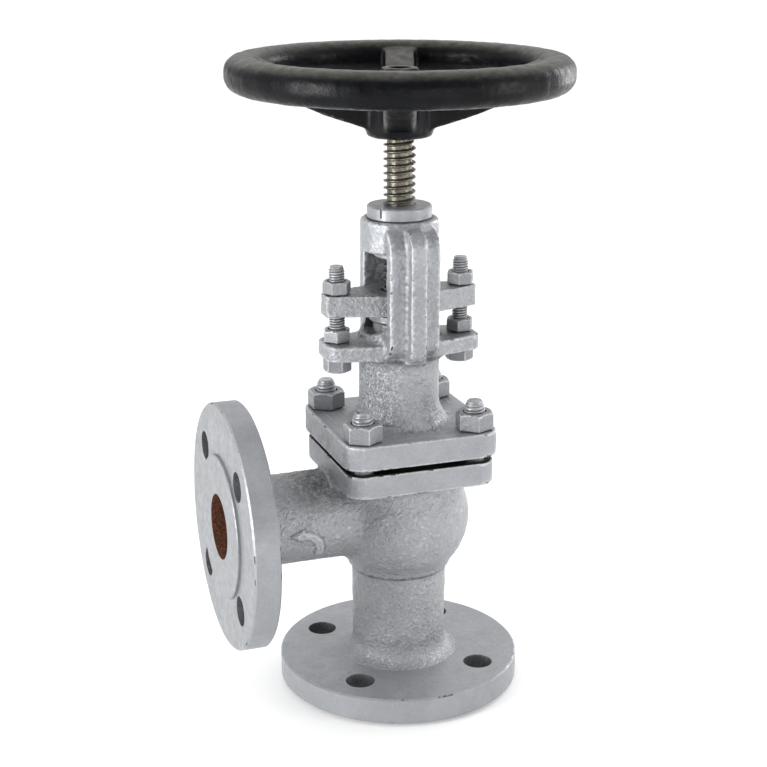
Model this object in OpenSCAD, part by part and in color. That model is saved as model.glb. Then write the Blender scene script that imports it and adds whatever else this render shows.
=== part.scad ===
// Flanged angle-pattern globe valve with an outside screw and yoke, DN 40.
// Millimetres. The origin is the centre of the inlet flange's raised face, +Z runs up the stem
// and the outlet points along -X. The valve is drawn shut: the disc rests on its seat.

/* [Pipe flanges] */
// Bore of the inlet and the outlet
bore_d = 40; // [38:0.5:41]
// Outside diameter of both pipe flanges
flange_d = 150; // [148:1:152]
// Thickness of a flange rim behind its raised face
flange_rim = 16; // [15:0.5:17]
// Diameter of the raised face
raised_face_d = 88; // [84:1:90]
// Height of the raised face
raised_face_h = 2; // [1.5:0.5:3]
// Bolt circle of the pipe flanges
bolt_circle_d = 110; // [109:0.5:111]
// Diameter of a pipe bolt hole
bolt_hole_d = 18; // [16:0.5:19]
// Number of bolt holes in each pipe flange
bolt_holes = 4; // [4:4:8]
// Distance from the valve's centre to each flange face
centre_to_face = 115; // [113:1:118]

/* [Body] */
// Largest outside diameter of the bowl
bowl_d = 88; // [86:1:90]
// Height of the middle of the bowl
bowl_z = 110; // [109:0.5:111]
// Wall thickness of the bowl
bowl_wall = 7; // [6:0.5:8]
// Diameter of the inlet neck below the bowl
neck_d = 60; // [58:0.5:61]
// Diameter of the outlet branch
branch_d = 56; // [54:0.5:58]
// Width of the square body flange
body_flange_w = 94; // [93:0.5:97]
// Height of the body flange's top face
body_top_z = 153.5; // [153:0.5:154]
// Thickness of the body flange
body_flange_h = 15; // [14:0.5:16]

/* [Bonnet and yoke] */
// Thickness of the bonnet gasket
gasket_h = 3; // [2.8:0.1:3.2]
// Width of the square bonnet flange
bonnet_flange_w = 97; // [95:0.5:98]
// Thickness of the bonnet flange
bonnet_flange_h = 15.6; // [15:0.2:16]
// Distance of each bonnet stud from both centre planes
stud_offset = 35.4; // [35:0.1:36]
// Diameter of the stuffing box neck
box_neck_d = 49.4; // [48:0.2:50]
// Height of the stuffing box rim
box_top_z = 228; // [227:0.5:229]
// Height of the underside of the yoke collar
collar_z = 277.2; // [276:0.2:278]
// Diameter of the yoke collar
collar_d = 47.4; // [46:0.2:48]
// Width of a yoke arm across its flange
arm_w = 32; // [30:0.5:32]
// Distance from the stem's axis to the inner face of a yoke arm
arm_inner = 20; // [19.5:0.1:20.5]

/* [Stem and disc] */
// Diameter of the stem and of the crests of its thread
stem_d = 19; // [18.8:0.05:19.05]
// Threads per inch on the stem
stem_tpi = 6; // [5:1:6]
// Turns of the handwheel from shut to open
open_turns = 4; // [3:0.5:4]
// Height of the seat face
seat_z = 90; // [89.5:0.1:90.5]
// Diameter of the hole through the seat ring
seat_d = 38; // [36:0.5:38]

/* [Gland] */
// Distance of each gland bolt from the stem's axis
gland_bolt_x = 39.4; // [38.5:0.1:40]
// Half of the length of the gland flange
gland_reach = 48.2; // [48:0.2:51]
// Width of the gland flange at its middle
gland_w = 34.6; // [33:0.2:36]
// Half of the length of the bonnet lugs
lug_reach = 49; // [48:0.5:51]

/* [Handwheel] */
// Outside diameter of the handwheel
wheel_d = 203; // [195:1:205]
// Width of the rim section
rim_w = 22.7; // [20:0.1:24]
// Height of the rim section
rim_h = 20.8; // [19:0.1:22]
// Width of a spoke
spoke_w = 19; // [16:0.5:20]
// Angle of the first spoke from +X
wheel_angle = 70; // [0:1:90]

/* [Hidden] */
$fn = 96;

paint_grey = [0.70, 0.71, 0.72];
fastener_grey = [0.55, 0.56, 0.57];
steel_brown = [0.58, 0.53, 0.45];
trim_steel = [0.72, 0.70, 0.66];
packing_black = [0.16, 0.16, 0.16];
wheel_black = [0.08, 0.08, 0.09];

// Clearance between pieces that are screwed or slid together and then stay put
fit_gap = 0.1;
// Length added to a cutting shape so that it runs past the face that it cuts
past = 1;

// Pipe flanges and body
flange_h = raised_face_h + flange_rim;
flange_chamfer = 1;
neck_foot_d = neck_d - 2;
neck_cove = 9;
branch_cove = 7;
bowl_band_z = 77;
bowl_band_h = 9;
bowl_band_d1 = neck_d + 3.6;
bowl_band_d2 = neck_d + 8.4;
bowl_top_d = 80;
bowl_top_cove = 5;
flange_corner_r = 12;
cover_bore_d = 64;
seat_ring_d = 52;
seat_ring_h = 10;
bowl_floor_z = 84;
arrow_relief = 0.9;
arrow_r = 10.5;
arrow_w = 4;

// Bonnet
bonnet_z = body_top_z + gasket_h;
bonnet_top_z = bonnet_z + bonnet_flange_h;
spigot_h = 6.5;
neck_ring_d = box_neck_d + 9.2;
neck_ring_h = 2;
neck_flare_h = 9;
stud_hole_d = 14;
lug_z = 214;
lug_h = 10;
lug_end_w = 31;
lug_middle_w = 44;
lug_corner_r = 9;
lug_cove = 5;
oval_middle = 24;
box_bore_d = 32;
box_floor_z = 190.5;
stem_hole_d = 21;
arm_t = 8.6;
arm_foot_z = 216.5;
arm_foot_r = 8;
arm_shoulder_z = 279;
arm_shoulder_r = 16;
rib_w = 10.5;
rib_t = 6.9;
rib_foot_z = 212;
rib_foot_r = 10.8;
rib_shoulder_z = 282;
rib_shoulder_r = 11.8;
collar_h = 19.8;
collar_top_z = collar_z + collar_h;
collar_chamfer = 1.5;

// Half-inch Whitworth studs and nuts of the bonnet
stud_d = 12.7;
stud_nut_af = 20.83;
stud_nut_h = 11.1;
stud_foot_z = body_top_z - 12.7;
stud_top_z = 190;
stud_tip_d = 8.6;
stud_tip_h = 5.4;
nut_countersink = 0.8;

// Three-eighths Whitworth gland bolts and nuts
gland_bolt_d = 9.525;
gland_nut_af = 15.24;
gland_nut_h = 7.94;
gland_head_h = 8.4;
gland_bolt_top_z = 270;
gland_bolt_tip_d = 8.2;
gland_bolt_tip_h = 0.9;
gland_hole_d = 11;

// Stem thread, 29 degree trapezoid, right hand
pitch = 25.4 / stem_tpi;
lift = open_turns * pitch;
thread_root_d = stem_d - 4.2;
thread_crest = 0.5;
thread_flank = 0.13;
thread_z = 254;
thread_top_z = 343.8;
thread_sides = 24;
thread_start = 0.75;
thread_turns = floor((thread_top_z - thread_z) / pitch) - 1;

// Yoke bush and its thread clearances
bush_flange_d = 38.5;
bush_flange_h = 7.3;
bush_body_d = 30;
bush_foot_z = 274;
bush_slit_w = 1.2;
bush_slit_deep = 1;
bush_slit_h = 5.6;
bush_slit_angle = 216;
thread_gap_r = 0.3;
thread_gap_z = 0.05;
bush_thread_skip = 2;
bush_thread_turns = 12;

// Packing and gland
packing_rings = 5;
packing_id = stem_d + 0.2;
packing_h = 6.4;
packing_top_z = box_floor_z + packing_rings * packing_h;
gland_z = 240;
gland_h = 13.3;
gland_end_w = 14;
gland_corner_r = 3;
follower_head_z = 233.5;
follower_head_d = 37;
follower_hole_d = stem_d + 0.6;

// Backseat bush and the stem's lower end
backseat_z = 148;
backseat_lip_d = 36;
backseat_lip_h = 2;
backseat_d = 28;
backseat_h = 16;
backseat_bore_d = stem_d + 0.6;
backseat_cone = 2.2;
collar_step = 2;
stem_collar_d = 23;
stem_cone_z = backseat_z + backseat_cone - collar_step - lift;
stem_collar_z = 120;
stem_neck_d = 17;
stem_head_d = 29;
stem_head_z = 96.2;
stem_head_h = 5.6;

// Disc
disc_d = 49;
disc_rim_h = 11;
disc_boss_d = 44;
disc_top_z = 113;
disc_bore_d = 34;
disc_bore_z = 96;
disc_nose_d = seat_d - 1.2;
disc_nose_h = 5;
disc_nut_foot_z = 102.1;
disc_nut_h = 6;
disc_nut_af = 36;
disc_nut_bore_d = stem_collar_d + 0.6;
lock_pin_d = 3;
lock_pin_z = 107.5;

// Handwheel and its fixings
hub_z = 344;
hub_d = 39.6;
hub_top_z = 371;
hub_chamfer = 1.5;
rim_z = 381.2;
rim_corner_r = 9.2;
spoke_count = 4;
square_af = 13;
washer_d = 26;
washer_h = 2;
wheel_nut_z = hub_top_z + washer_h;
stem_end_z = wheel_nut_z + stud_nut_h - 1.6;

// ---------- shared shapes ----------

// Rounded rectangle with true arcs at its corners
module rounded_plate(size_x, size_y, corner_r) {
    square([size_x, size_y - 2 * corner_r], center = true);
    square([size_x - 2 * corner_r, size_y], center = true);
    for (sx = [-1, 1], sy = [-1, 1])
        translate([sx * (size_x / 2 - corner_r), sy * (size_y / 2 - corner_r)])
            circle(corner_r);
}

// Concave ring that joins a round neck to the face it stands on
module cove(neck_r, cove_r) {
    rotate_extrude()
        difference() {
            translate([neck_r - 2, -0.5])
                square([cove_r + 2, cove_r + 0.5]);
            translate([neck_r + cove_r, cove_r])
                circle(cove_r);
        }
}

// Cylinder with a chamfer at its foot and at its top
module chamfered_rod(d, h, foot, top) {
    rotate_extrude()
        polygon([[0, 0], [d / 2 - foot, 0], [d / 2, foot], [d / 2, h - top], [d / 2 - top, h], [0, h]]);
}

// Rod whose top end tapers to the diameter tip_d over the height tip_h
module tapered_rod(d, h, tip_d, tip_h) {
    rotate_extrude()
        polygon([[0, 0], [d / 2, 0], [d / 2, h - tip_h], [tip_d / 2, h], [0, h]]);
}

// Oval plate of the kind that two bolts pull down: widest at its middle, with narrow rounded ends
module oval_plate(reach, end_w, middle_w, corner_r) {
    rounded_plate(2 * reach, end_w, corner_r);
    x = reach - corner_r;
    m = oval_middle / 2;
    polygon([[-x, -end_w / 2], [-m, -middle_w / 2], [m, -middle_w / 2], [x, -end_w / 2],
        [x, end_w / 2], [m, middle_w / 2], [-m, middle_w / 2], [-x, end_w / 2]]);
}

// Six-sided nut or bolt head, chamfered at 30 degrees at its top, and at its foot if both is true
module hexagon(af, h, both) {
    corner_r = af / 2 / cos(30);
    face_r = 0.475 * af;
    chamfer_h = (corner_r - face_r) * tan(30);
    foot_r = both ? face_r : corner_r;
    foot_h = both ? chamfer_h : 0.01;
    intersection() {
        cylinder(r = corner_r, h = h, $fn = 6);
        rotate_extrude()
            polygon([[0, 0], [foot_r, 0], [corner_r + 0.01, foot_h],
                [corner_r + 0.01, h - chamfer_h], [face_r, h], [0, h]]);
    }
}

module hex_nut(af, h, hole_d) {
    difference() {
        hexagon(af, h, false);
        translate([0, 0, -past])
            cylinder(d = hole_d, h = h + 2 * past);
        translate([0, 0, h - nut_countersink])
            cylinder(d1 = hole_d, d2 = hole_d + 2 * (nut_countersink + past), h = nut_countersink + past);
    }
}

module stud_places() {
    for (sx = [-1, 1], sy = [-1, 1])
        translate([sx * stud_offset, sy * stud_offset, 0])
            children();
}

module gland_bolt_places() {
    for (sx = [-1, 1])
        translate([sx * gland_bolt_x, 0, 0])
            children();
}

// ---------- screw thread ----------

// Height of a thread point over one pitch, as a part of the pitch measured from the crest's middle
function thread_rise(k, crest) =
    [-crest / 2 - thread_flank, -crest / 2, crest / 2, crest / 2 + thread_flank][k];

// How far the thread has grown out of its root at turn t: it runs in and out over one turn
function thread_growth(t, turns) = max(0, min(1, t, turns - t));

function thread_point(j, i, root_r, crest_r, crest, turns) =
    let (
        k = i % 4,
        t = floor(i / 4) + j / thread_sides,
        grown = (k == 1 || k == 2) ? thread_growth(t, turns) : 0,
        r = root_r + (crest_r - root_r) * grown,
        angle = 360 * j / thread_sides
    )
    [r * cos(angle), r * sin(angle), pitch * (thread_start + t + thread_rise(k, crest))];

function ring_points(r, z) =
    [for (j = [0:thread_sides - 1]) [r * cos(360 * j / thread_sides), r * sin(360 * j / thread_sides), z]];

// Threaded rod of height h. Each column of points climbs the rod, and each column starts one side's
// share of the pitch higher, so the last column meets the first one a whole turn up.
module threaded_rod(root_r, crest_r, crest, turns, h) {
    n = thread_sides;
    m = 4 * turns;
    points = concat(
        [for (j = [0:n - 1], i = [0:m - 1]) thread_point(j, i, root_r, crest_r, crest, turns)],
        ring_points(root_r, 0),
        ring_points(root_r, h)
    );
    foot = n * m;
    head = foot + n;
    seam = (n - 1) * m;
    sides = [for (j = [0:n - 2], i = [0:m - 2], half = [0, 1])
        let (a = j * m + i, b = a + m)
        half == 0 ? [a, a + 1, b + 1] : [a, b + 1, b]];
    skirts = [for (j = [0:n - 2], half = [0, 1])
        let (a = j * m, b = a + m)
        half == 0 ? [foot + j, a, b] : [foot + j, b, foot + j + 1]];
    crowns = [for (j = [0:n - 2], half = [0, 1])
        let (a = j * m + m - 1, b = a + m)
        half == 0 ? [a, head + j, head + j + 1] : [a, head + j + 1, b]];
    seam_sides = [for (i = [0:m - 6], half = [0, 1])
        let (a = seam + i)
        half == 0 ? [a, a + 1, i + 5] : [a, i + 5, i + 4]];
    seam_foot = concat(
        [[foot + n - 1, seam, foot], [foot, seam, 0]],
        [for (i = [0:3]) [i, seam, i + 1]]
    );
    seam_head = concat(
        [for (i = [m - 5:m - 2]) [seam + i, seam + i + 1, m - 1]],
        [[seam + m - 1, head + n - 1, m - 1], [head + n - 1, head, m - 1]]
    );
    caps = [[for (j = [0:n - 1]) foot + j], [for (j = [0:n - 1]) head + n - 1 - j]];
    polyhedron(points, concat(sides, skirts, crowns, seam_sides, seam_foot, seam_head, caps));
}

// ---------- body ----------

// Pipe flange with its raised face down on z = 0, still without holes
module pipe_flange() {
    r = flange_d / 2;
    face_r = raised_face_d / 2;
    c = flange_chamfer;
    rotate_extrude()
        polygon([[0, 0], [face_r - c / 2, 0], [face_r, c / 2], [face_r, raised_face_h],
            [r - c, raised_face_h], [r, raised_face_h + c], [r, flange_h - c], [r - c, flange_h],
            [0, flange_h]]);
}

// Bolt holes that straddle the flange's centre lines
module pipe_bolt_holes() {
    for (i = [0:bolt_holes - 1])
        rotate([0, 0, (i + 0.5) * 360 / bolt_holes])
            translate([bolt_circle_d / 2, 0, -past])
                cylinder(d = bolt_hole_d, h = flange_h + 2 * past);
}

// Turns a shape built upwards from z = 0 so that it stands inwards from the outlet face
module at_outlet() {
    translate([-centre_to_face, 0, centre_to_face])
        rotate([0, 90, 0])
            children();
}

// Generic flow arrow, cast on the side of the branch: it comes up from the inlet and bends to the outlet
module flow_arrow() {
    inner_r = arrow_r - arrow_w / 2;
    outer_r = arrow_r + arrow_w / 2;
    intersection() {
        at_outlet()
            translate([0, 0, flange_h + branch_cove])
                cylinder(d = branch_d + 2 * arrow_relief, h = 40);
        translate([-70, 0, centre_to_face - 12])
            rotate([90, 0, 0])
                linear_extrude(branch_d) {
                    difference() {
                        intersection() {
                            circle(outer_r);
                            square(outer_r);
                        }
                        circle(inner_r);
                    }
                    translate([inner_r, -4])
                        square([arrow_w, 4.1]);
                    polygon([[0.1, arrow_r - arrow_w], [0.1, arrow_r + arrow_w], [-8, arrow_r]]);
                }
    }
}

module body_outside() {
    pipe_flange();
    cylinder(d1 = neck_foot_d, d2 = neck_d, h = bowl_band_z + 1);
    translate([0, 0, flange_h])
        cove(neck_foot_d / 2, neck_cove);
    translate([0, 0, bowl_band_z])
        cylinder(d1 = bowl_band_d1, d2 = bowl_band_d2, h = bowl_band_h);
    translate([0, 0, bowl_z])
        sphere(d = bowl_d);
    translate([0, 0, bowl_z])
        cylinder(d = bowl_top_d, h = body_top_z - body_flange_h - bowl_z + 1);
    translate([0, 0, body_top_z - body_flange_h])
        mirror([0, 0, 1])
            cove(bowl_top_d / 2, bowl_top_cove);
    translate([0, 0, body_top_z - body_flange_h])
        linear_extrude(body_flange_h)
            rounded_plate(body_flange_w, body_flange_w, flange_corner_r);
    at_outlet() {
        pipe_flange();
        cylinder(d = branch_d, h = centre_to_face);
        translate([0, 0, flange_h])
            cove(branch_d / 2, branch_cove);
    }
    flow_arrow();
}

module body() {
    color(paint_grey)
        difference() {
            body_outside();
            pipe_bolt_holes();
            at_outlet()
                pipe_bolt_holes();
            translate([0, 0, -past])
                cylinder(d = bore_d, h = seat_z);
            translate([0, 0, seat_z - seat_ring_h])
                cylinder(d = seat_ring_d, h = seat_ring_h);
            intersection() {
                translate([0, 0, bowl_z])
                    sphere(d = bowl_d - 2 * bowl_wall);
                translate([0, 0, bowl_floor_z])
                    cylinder(d = bowl_d, h = bowl_d);
            }
            translate([0, 0, bowl_z])
                cylinder(d = cover_bore_d, h = body_top_z);
            at_outlet()
                translate([0, 0, -past])
                    cylinder(d = bore_d, h = centre_to_face - 20);
            stud_places()
                translate([0, 0, stud_foot_z - 0.3])
                    cylinder(d = stud_d + fit_gap, h = body_top_z);
        }
}

module seat_ring() {
    r = seat_ring_d / 2 - fit_gap;
    foot_z = seat_z - seat_ring_h;
    color(trim_steel)
        rotate_extrude()
            polygon([[seat_d / 2, foot_z], [r, foot_z], [r, seat_z - 1.6], [r - 1.6, seat_z],
                [seat_d / 2, seat_z]]);
}

// ---------- disc ----------

module lock_pin_hole(from_r, to_r, d) {
    translate([0, 0, lock_pin_z])
        rotate([0, 90, 0])
            translate([0, 0, from_r])
                cylinder(d = d, h = to_r - from_r, $fn = 32);
}

module disc() {
    color(trim_steel)
        difference() {
            union() {
                translate([0, 0, seat_z])
                    chamfered_rod(disc_d, disc_rim_h, 0.8, 1.5);
                cylinder_between(seat_z + 1, disc_top_z, disc_boss_d);
                translate([0, 0, seat_z - disc_nose_h])
                    chamfered_rod(disc_nose_d, disc_nose_h + 1, 2.5, 0);
            }
            cylinder_between(disc_bore_z, disc_top_z + past, disc_bore_d + 2 * fit_gap);
            lock_pin_hole(0, disc_boss_d, lock_pin_d);
        }
}

module cylinder_between(low_z, high_z, d) {
    translate([0, 0, low_z])
        cylinder(d = d, h = high_z - low_z);
}

module disc_nut() {
    color(trim_steel)
        difference() {
            union() {
                cylinder_between(disc_nut_foot_z, disc_top_z, disc_bore_d);
                translate([0, 0, disc_top_z])
                    hexagon(disc_nut_af, disc_nut_h, false);
            }
            cylinder_between(disc_nut_foot_z - past, disc_top_z + disc_nut_h + past, disc_nut_bore_d);
            lock_pin_hole(0, disc_boss_d, lock_pin_d);
        }
}

module disc_lock_pin() {
    color(trim_steel)
        lock_pin_hole(disc_bore_d / 2 - 3.5, disc_boss_d / 2 - 0.3, lock_pin_d - fit_gap);
}

// ---------- bonnet ----------

module bonnet_gasket() {
    color(packing_black)
        difference() {
            cylinder_between(body_top_z, bonnet_z, bowl_top_d);
            cylinder_between(body_top_z - past, bonnet_z + past, cover_bore_d + 1);
        }
}

module stuffing_neck() {
    cylinder_between(bonnet_z, box_top_z, box_neck_d);
    cylinder_between(bonnet_top_z - 1, bonnet_top_z + neck_ring_h, neck_ring_d);
    translate([0, 0, bonnet_top_z + neck_ring_h])
        cylinder(d1 = neck_ring_d - 1.4, d2 = box_neck_d, h = neck_flare_h);
}

// Side view of an arm or of its rib: straight inside, rounded over at the foot and at the shoulder
module arm_side(inner, outer, foot_z, foot_r, shoulder_z, shoulder_r) {
    intersection() {
        translate([inner, foot_z])
            square([outer - inner, collar_top_z - collar_chamfer - 0.5 - foot_z]);
        union() {
            translate([inner, foot_z + foot_r])
                square([outer - inner, shoulder_z - foot_z - foot_r]);
            translate([outer - foot_r, foot_z + foot_r])
                circle(foot_r);
            translate([inner, foot_z])
                square([max(0.1, outer - foot_r - inner), foot_r]);
            translate([outer - shoulder_r, shoulder_z])
                circle(shoulder_r);
        }
    }
}

module yoke_arm() {
    arm_outer = arm_inner + arm_t;
    rotate([90, 0, 90]) {
        translate([0, 0, -arm_w / 2])
            linear_extrude(arm_w)
                arm_side(arm_inner, arm_outer, arm_foot_z, arm_foot_r, arm_shoulder_z, arm_shoulder_r);
        translate([0, 0, -rib_w / 2])
            linear_extrude(rib_w)
                arm_side(arm_inner + 1, arm_outer + rib_t, rib_foot_z, rib_foot_r, rib_shoulder_z,
                    rib_shoulder_r);
    }
}

// Low wall on the stuffing box rim that sweeps up into each yoke arm
module arm_roots() {
    root_h = 6.5;
    root_r = 8;
    intersection() {
        difference() {
            cylinder_between(box_top_z - 1, box_top_z + root_h, box_neck_d);
            cylinder_between(box_top_z - 2, box_top_z + root_h + 1, box_neck_d - 7.4);
        }
        translate([0, box_neck_d, 0])
            rotate([90, 0, 0])
                linear_extrude(2 * box_neck_d)
                    difference() {
                        translate([-arm_w / 2 - root_r, box_top_z - 2])
                            square([arm_w + 2 * root_r, root_h + 2]);
                        for (sx = [-1, 1])
                            translate([sx * (arm_w / 2 + root_r), box_top_z + root_r])
                                circle(root_r);
                    }
    }
}

module bonnet_outside() {
    translate([0, 0, bonnet_z])
        linear_extrude(bonnet_flange_h)
            rounded_plate(bonnet_flange_w, bonnet_flange_w, flange_corner_r);
    cylinder_between(bonnet_z - spigot_h, bonnet_z + 1, cover_bore_d - 0.6);
    stuffing_neck();
    translate([0, 0, lug_z])
        linear_extrude(lug_h)
            oval_plate(lug_reach, lug_end_w, lug_middle_w, lug_corner_r);
    translate([0, 0, lug_z])
        mirror([0, 0, 1])
            cove(box_neck_d / 2, lug_cove);
    yoke_arm();
    rotate([0, 0, 180])
        yoke_arm();
    arm_roots();
    translate([0, 0, collar_z])
        chamfered_rod(collar_d, collar_h, 0.5, collar_chamfer);
}

module lock_screw_place() {
    translate([0, 0, collar_z + collar_h / 2])
        rotate([0, 0, 45])
            rotate([0, 90, 0])
                children();
}

module bonnet() {
    color(paint_grey)
        difference() {
            bonnet_outside();
            cylinder_between(bonnet_z - spigot_h - past, backseat_z + backseat_h, backseat_d + fit_gap);
            cylinder_between(backseat_z, box_floor_z + past, stem_hole_d);
            cylinder_between(box_floor_z, collar_z - past, box_bore_d);
            cylinder_between(collar_z - 2 * past, collar_top_z + past, bush_body_d + 2 * fit_gap);
            stud_places()
                cylinder_between(bonnet_z - past, bonnet_top_z + past, stud_hole_d);
            gland_bolt_places()
                cylinder_between(lug_z - past, lug_z + lug_h + past, gland_bolt_d + 0.4);
            lock_screw_place()
                cylinder(d = 6 + fit_gap, h = collar_d, $fn = 32);
        }
}

module backseat_bush() {
    r = backseat_bore_d / 2;
    color(trim_steel)
        rotate_extrude()
            polygon([[r + backseat_cone, backseat_z], [backseat_lip_d / 2, backseat_z],
                [backseat_lip_d / 2, backseat_z + backseat_lip_h],
                [backseat_d / 2, backseat_z + backseat_lip_h],
                [backseat_d / 2, backseat_z + backseat_h], [r, backseat_z + backseat_h],
                [r, backseat_z + backseat_cone]]);
}

module bonnet_studs() {
    color(fastener_grey)
        stud_places()
            translate([0, 0, stud_foot_z])
                tapered_rod(stud_d, stud_top_z - stud_foot_z, stud_tip_d, stud_tip_h);
}

module bonnet_nuts() {
    for (sx = [-1, 1], sy = [-1, 1])
        color(fastener_grey)
            translate([sx * stud_offset, sy * stud_offset, bonnet_top_z])
                rotate([0, 0, 26 - 4 * sx])
                    hex_nut(stud_nut_af, stud_nut_h, stud_d + fit_gap);
}

// ---------- packing and gland ----------

module packing_ring(i) {
    low_z = box_floor_z + i * packing_h;
    color(packing_black)
        difference() {
            cylinder_between(low_z, low_z + packing_h, box_bore_d - 2 * fit_gap);
            cylinder_between(low_z - past, low_z + packing_h + past, packing_id);
        }
}

module gland_follower() {
    r = follower_head_d / 2;
    color(trim_steel)
        difference() {
            union() {
                cylinder_between(packing_top_z, gland_z, box_bore_d - 0.6);
                rotate_extrude()
                    polygon([[0, follower_head_z], [r - 2, follower_head_z], [r, follower_head_z + 2],
                        [r, gland_z - 1], [r - 1, gland_z], [0, gland_z]]);
            }
            cylinder_between(packing_top_z - past, gland_z + past, follower_hole_d);
        }
}

module gland_flange() {
    color(paint_grey)
        difference() {
            translate([0, 0, gland_z])
                linear_extrude(gland_h)
                    oval_plate(gland_reach, gland_end_w, gland_w, gland_corner_r);
            cylinder_between(gland_z - past, gland_z + gland_h + past, stem_hole_d);
            gland_bolt_places()
                cylinder_between(gland_z - past, gland_z + gland_h + past, gland_hole_d);
        }
}

module gland_bolts() {
    color(fastener_grey)
        gland_bolt_places() {
            translate([0, 0, lug_z - 2])
                tapered_rod(gland_bolt_d, gland_bolt_top_z - lug_z + 2, gland_bolt_tip_d,
                    gland_bolt_tip_h);
            translate([0, 0, lug_z])
                mirror([0, 0, 1])
                    rotate([0, 0, 32])
                        hexagon(gland_nut_af, gland_head_h, false);
        }
}

module gland_lock_nuts() {
    for (sx = [-1, 1])
        color(fastener_grey)
            translate([sx * gland_bolt_x, 0, lug_z + lug_h])
                rotate([0, 0, 7 - 5 * sx])
                    hex_nut(gland_nut_af, gland_nut_h, gland_bolt_d + fit_gap);
}

module gland_nut(side, turned) {
    color(fastener_grey)
        translate([side * gland_bolt_x, 0, gland_z + gland_h])
            rotate([0, 0, turned])
                hex_nut(gland_nut_af, gland_nut_h, gland_bolt_d + 2 * fit_gap);
}

// ---------- yoke bush, stem and handwheel ----------

module yoke_bush() {
    color(paint_grey)
        difference() {
            union() {
                cylinder_between(bush_foot_z, collar_top_z + 1, bush_body_d);
                translate([0, 0, collar_top_z])
                    chamfered_rod(bush_flange_d, bush_flange_h, 0.3, 0.8);
            }
            rotate([0, 0, bush_slit_angle])
                translate([bush_flange_d / 2, 0, collar_top_z + bush_flange_h - bush_slit_h / 2 + past])
                    cube([2 * bush_slit_deep, bush_slit_w, bush_slit_h + 2 * past], center = true);
            translate([0, 0, thread_z + bush_thread_skip * pitch])
                threaded_rod(thread_root_d / 2 + thread_gap_r, stem_d / 2 + thread_gap_r,
                    thread_crest + 2 * thread_gap_z, bush_thread_turns, (bush_thread_turns + 2) * pitch);
        }
}

module bush_lock_screw() {
    color(fastener_grey)
        lock_screw_place()
            translate([0, 0, bush_body_d / 2 + fit_gap])
                cylinder(d = 6, h = (collar_d - bush_body_d) / 2 - 0.6, $fn = 32);
}

module stem() {
    color(steel_brown) {
        rotate_extrude()
            polygon([[0, stem_head_z], [stem_head_d / 2 - 3, stem_head_z],
                [stem_head_d / 2, stem_head_z + 1.5], [stem_head_d / 2, stem_head_z + stem_head_h],
                [stem_neck_d / 2, stem_head_z + stem_head_h], [stem_neck_d / 2, stem_collar_z - 1],
                [stem_collar_d / 2, stem_collar_z], [stem_collar_d / 2, stem_cone_z],
                [stem_d / 2, stem_cone_z + collar_step], [stem_d / 2, thread_z - 0.6],
                [stem_d / 2 - 0.6, thread_z], [0, thread_z]]);
        translate([0, 0, thread_z])
            threaded_rod(thread_root_d / 2, stem_d / 2, thread_crest, thread_turns,
                thread_top_z - thread_z);
        cylinder_between(thread_top_z, hub_z, stem_d);
        translate([0, 0, (hub_z + hub_top_z - 2) / 2])
            rotate([0, 0, wheel_angle])
                cube([square_af, square_af, hub_top_z - 2 - hub_z], center = true);
        translate([0, 0, hub_top_z - 2])
            chamfered_rod(stud_d, stem_end_z - hub_top_z + 2, 0, 1);
    }
}

module handwheel_rim() {
    rotate_extrude($fn = 128)
        translate([wheel_d / 2 - rim_w / 2, rim_z])
            rounded_plate(rim_w, rim_h, rim_corner_r);
}

module handwheel_spoke() {
    inner_r = 8;
    outer_r = wheel_d / 2 - rim_w + 5;
    rim_low = rim_z - rim_h / 2 + 3;
    rim_high = rim_z + rim_h / 2 - 2.5;
    rotate([90, 0, 0])
        translate([0, 0, -spoke_w / 2])
            linear_extrude(spoke_w)
                polygon([[inner_r, hub_z + 5], [hub_d / 2, hub_z + 5.5], [0.52 * outer_r, hub_z + 13],
                    [outer_r, rim_low], [outer_r, rim_high], [0.5 * outer_r, hub_top_z + 4],
                    [inner_r, hub_top_z - 1.5]]);
}

module handwheel() {
    color(wheel_black)
        difference() {
            union() {
                handwheel_rim();
                translate([0, 0, hub_z])
                    chamfered_rod(hub_d, hub_top_z - hub_z, hub_chamfer, 1);
                for (i = [0:spoke_count - 1])
                    rotate([0, 0, wheel_angle + i * 360 / spoke_count])
                        handwheel_spoke();
            }
            translate([0, 0, (hub_z + hub_top_z) / 2])
                rotate([0, 0, wheel_angle])
                    cube([square_af + 2 * fit_gap, square_af + 2 * fit_gap, hub_top_z], center = true);
        }
}

module wheel_washer() {
    color(fastener_grey)
        difference() {
            cylinder_between(hub_top_z, wheel_nut_z, washer_d);
            cylinder_between(hub_top_z - past, wheel_nut_z + past, stud_d + 0.6);
        }
}

module wheel_nut() {
    color(wheel_black)
        translate([0, 0, wheel_nut_z])
            rotate([0, 0, 20])
                hex_nut(stud_nut_af, stud_nut_h, stud_d + fit_gap);
}

body();
seat_ring();
disc();
disc_nut();
disc_lock_pin();
bonnet_gasket();
bonnet();
backseat_bush();
bonnet_studs();
bonnet_nuts();
packing_ring(0);  // packing_ring_1
packing_ring(1);  // packing_ring_2
packing_ring(2);  // packing_ring_3
packing_ring(3);  // packing_ring_4
packing_ring(4);  // packing_ring_5
gland_follower();
gland_flange();
gland_bolts();
gland_lock_nuts();
gland_nut(-1, 55);  // gland_nut_left
gland_nut(1, 3);  // gland_nut_right
yoke_bush();
bush_lock_screw();
stem();
handwheel();
wheel_washer();
wheel_nut();
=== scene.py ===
import math

import bmesh
import bpy
import numpy as np
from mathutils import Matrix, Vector, noise


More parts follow.
